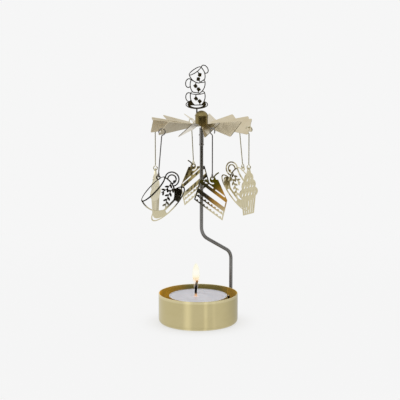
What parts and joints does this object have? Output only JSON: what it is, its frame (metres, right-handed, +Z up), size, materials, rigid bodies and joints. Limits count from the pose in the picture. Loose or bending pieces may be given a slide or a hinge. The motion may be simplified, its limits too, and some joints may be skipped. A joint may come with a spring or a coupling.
{
  "type": "rotary candle carousel",
  "caption": "Tealight cup with a bent rod whose needle carries a bladed wheel, turned by warm air, with etched charms on wire hangers and a figure on top.",
  "frame": {"origin": "centre of the holder cup's flat underside", "axes": "+Z up along the cup's axis, -Y towards the viewer of the picture, +X to the viewer's right"},
  "size_m": [0.076, 0.0674, 0.1684],
  "materials": {
    "cup_brass": "satin, drawn sheet",
    "rod_steel": "satin wire",
    "sleeve_steel": "satin, crimped",
    "needle_steel": "ground point",
    "seat_steel": "hardened, polished dimple",
    "dome_brass": "polished",
    "wheel_brass": "satin sheet",
    "topper_brass": "polished, etched",
    "tealight_aluminium": "drawn foil",
    "candle_wax": "cast wax",
    "wick_cotton": "charred at the top",
    "sustainer_steel": "tinned sheet",
    "hanger_wire": "drawn wire",
    "charm_brass": "polished, etched"
  },
  "bodies": {
    "stand": {"holder_cup": "cup_brass", "stand_rod": "rod_steel", "needle_sleeve": "sleeve_steel", "pivot_needle": "needle_steel"},
    "tealight": {"tealight_case": "tealight_aluminium", "tealight_wax": "candle_wax", "tealight_wick": "wick_cotton", "wick_sustainer": "sustainer_steel"},
    "rotor": {"blade_wheel": "wheel_brass", "bearing_dome": "dome_brass", "pivot_seat": "seat_steel", "topper_figure": "topper_brass"},
    "hanger_1": {"hanger_1": "hanger_wire"},
    "cupcake_charm_1": {"cupcake_charm_1": "charm_brass"},
    "hanger_2": {"hanger_2": "hanger_wire"},
    "teacup_charm_1": {"teacup_charm_1": "charm_brass"},
    "hanger_3": {"hanger_3": "hanger_wire"},
    "cake_charm_1": {"cake_charm_1": "charm_brass"},
    "hanger_4": {"hanger_4": "hanger_wire"},
    "cupcake_charm_2": {"cupcake_charm_2": "charm_brass"},
    "hanger_5": {"hanger_5": "hanger_wire"},
    "teacup_charm_2": {"teacup_charm_2": "charm_brass"},
    "hanger_6": {"hanger_6": "hanger_wire"},
    "cake_charm_2": {"cake_charm_2": "charm_brass"}
  },
  "joints": [
    {"name": "rotor_spin", "type": "hinge", "parent": "stand", "child": "rotor", "pos_m": [0.00221, 0.00155, 0.12976], "axis": [0, 0, 1], "continuous": true},
    {"name": "tealight_lift", "type": "slide", "parent": "stand", "child": "tealight", "axis": [0, 0, 1], "range_m": [0, 0.0205]},
    {"name": "hanger_1_swing", "type": "hinge", "parent": "rotor", "child": "hanger_1", "pos_m": [0.03208, -0.00997, 0.1279], "axis": [-0.3338, -0.9426, 0], "range_deg": [-12, 28]},
    {"name": "cupcake_charm_1_swing", "type": "hinge", "parent": "hanger_1", "child": "cupcake_charm_1", "pos_m": [0.03208, -0.00997, 0.1025], "axis": [0.788, -0.6157, 0], "range_deg": [-30, 30]},
    {"name": "hanger_2_swing", "type": "hinge", "parent": "rotor", "child": "hanger_2", "pos_m": [0.02761, 0.02086, 0.12743], "axis": [0.0958, -0.9954, 0], "range_deg": [-17.5, 22.5]},
    {"name": "teacup_charm_1_swing", "type": "hinge", "parent": "hanger_2", "child": "teacup_charm_1", "pos_m": [0.03034, 0.02113, 0.09896], "axis": [0.6157, 0.788, 0], "range_deg": [-30, 30]},
    {"name": "hanger_3_swing", "type": "hinge", "parent": "rotor", "child": "hanger_3", "pos_m": [-0.00359, 0.03288, 0.12903], "axis": [0.7133, 0.7009, 0], "range_deg": [-8, 32]},
    {"name": "cake_charm_1_swing", "type": "hinge", "parent": "hanger_3", "child": "cake_charm_1", "pos_m": [-0.00216, 0.03143, 0.0999], "axis": [-0.342, 0.9397, 0], "range_deg": [-30, 30]},
    {"name": "hanger_4_swing", "type": "hinge", "parent": "rotor", "child": "hanger_4", "pos_m": [-0.02766, 0.01307, 0.1279], "axis": [0.3338, 0.9426, 0], "range_deg": [-12, 28]},
    {"name": "cupcake_charm_2_swing", "type": "hinge", "parent": "hanger_4", "child": "cupcake_charm_2", "pos_m": [-0.02766, 0.01307, 0.0991], "axis": [-0.9511, 0.309, 0], "range_deg": [-30, 30]},
    {"name": "hanger_5_swing", "type": "hinge", "parent": "rotor", "child": "hanger_5", "pos_m": [-0.02319, -0.01777, 0.12743], "axis": [-0.0958, 0.9954, 0], "range_deg": [-17, 23]},
    {"name": "teacup_charm_2_swing", "type": "hinge", "parent": "hanger_5", "child": "teacup_charm_2", "pos_m": [-0.02567, -0.01801, 0.09894], "axis": [-0.2588, -0.9659, 0], "range_deg": [-30, 30]},
    {"name": "hanger_6_swing", "type": "hinge", "parent": "rotor", "child": "hanger_6", "pos_m": [0.00801, -0.02978, 0.12903], "axis": [-0.7133, -0.7009, 0], "range_deg": [-12, 28]},
    {"name": "cake_charm_2_swing", "type": "hinge", "parent": "hanger_6", "child": "cake_charm_2", "pos_m": [0.00801, -0.02978, 0.09983], "axis": [0.1564, -0.9877, 0], "range_deg": [-30, 30]}
  ]
}
